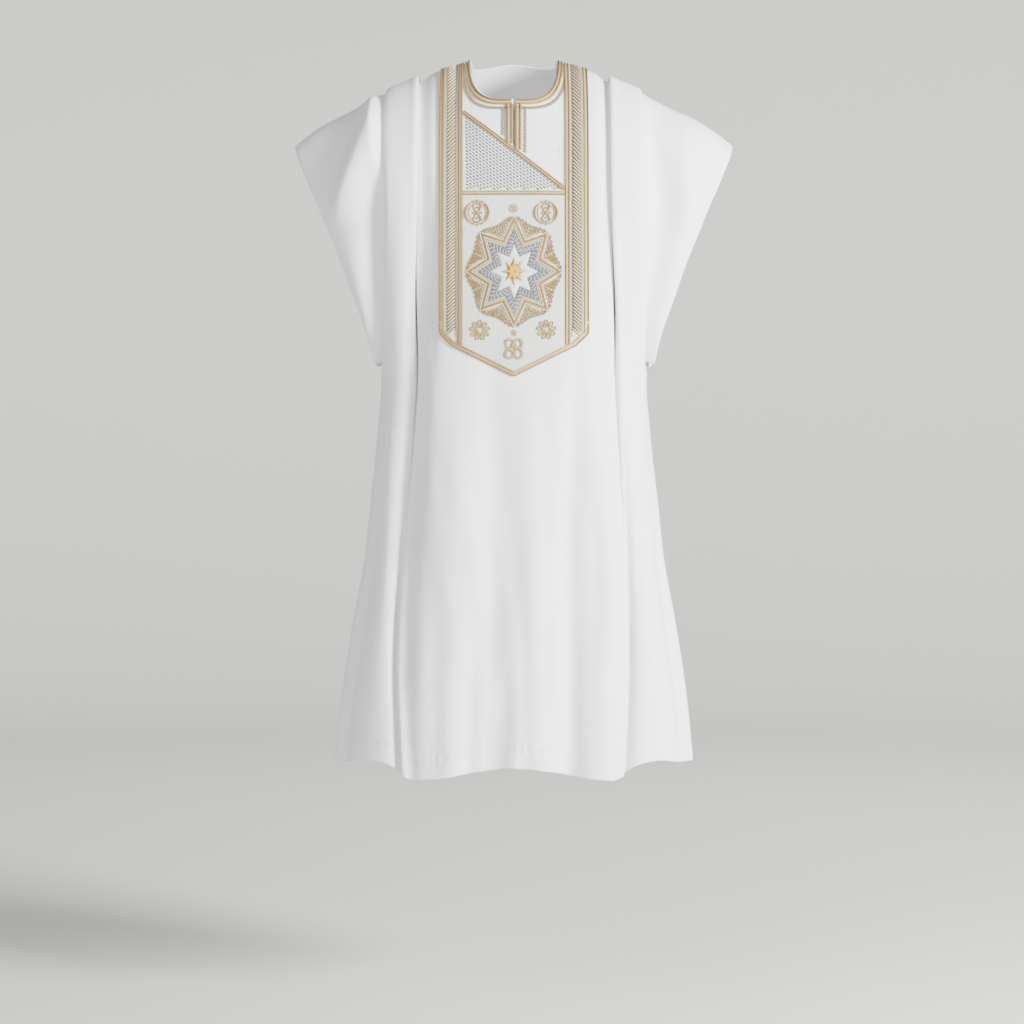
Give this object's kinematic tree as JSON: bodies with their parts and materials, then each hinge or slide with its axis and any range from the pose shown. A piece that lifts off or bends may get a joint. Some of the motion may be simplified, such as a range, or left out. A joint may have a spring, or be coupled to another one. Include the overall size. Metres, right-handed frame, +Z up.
{
  "type": "grand boubou robe",
  "caption": "Hollow long robe with pleated shoulders, pointed sleeve wings, open neck, arm openings and hem, and a raised embroidered chest panel with side bands.",
  "frame": {"origin": "between the wearer's shoulders at the base of the neck, where the robe is held", "axes": "+Z up, the front faces -Y, +X to the viewer's right as seen from the front"},
  "size_m": [0.7008, 0.3355, 1.1336],
  "materials": {
    "white_cloth": "fine smooth woven suiting, matt with a faint sheen",
    "cream_ground": "close satin stitch ground, soft sheen",
    "gold_braid": "metallic thread embroidery, pale gold",
    "silver_stitch": "silver grey thread hatching on white"
  },
  "bodies": {
    "root": {"front_body": "white_cloth", "back_body": "white_cloth", "sleeve_left": "white_cloth", "sleeve_right": "white_cloth", "chest_panel": "cream_ground", "band_left": "cream_ground", "band_right": "cream_ground", "stitched_field": "silver_stitch", "neck_braid": "gold_braid", "slit_braid_left": "gold_braid", "slit_braid_right": "gold_braid", "level_braid": "gold_braid", "slanted_braid": "gold_braid", "point_border": "gold_braid", "star_ground": "gold_braid", "star_outer": "gold_braid", "star_inner": "silver_stitch", "scroll_left": "gold_braid", "scroll_right": "gold_braid", "flower_left": "gold_braid", "flower_right": "gold_braid", "rosette_top": "gold_braid", "rosette_low": "gold_braid", "knot_motif": "gold_braid"}
  },
  "joints": []
}
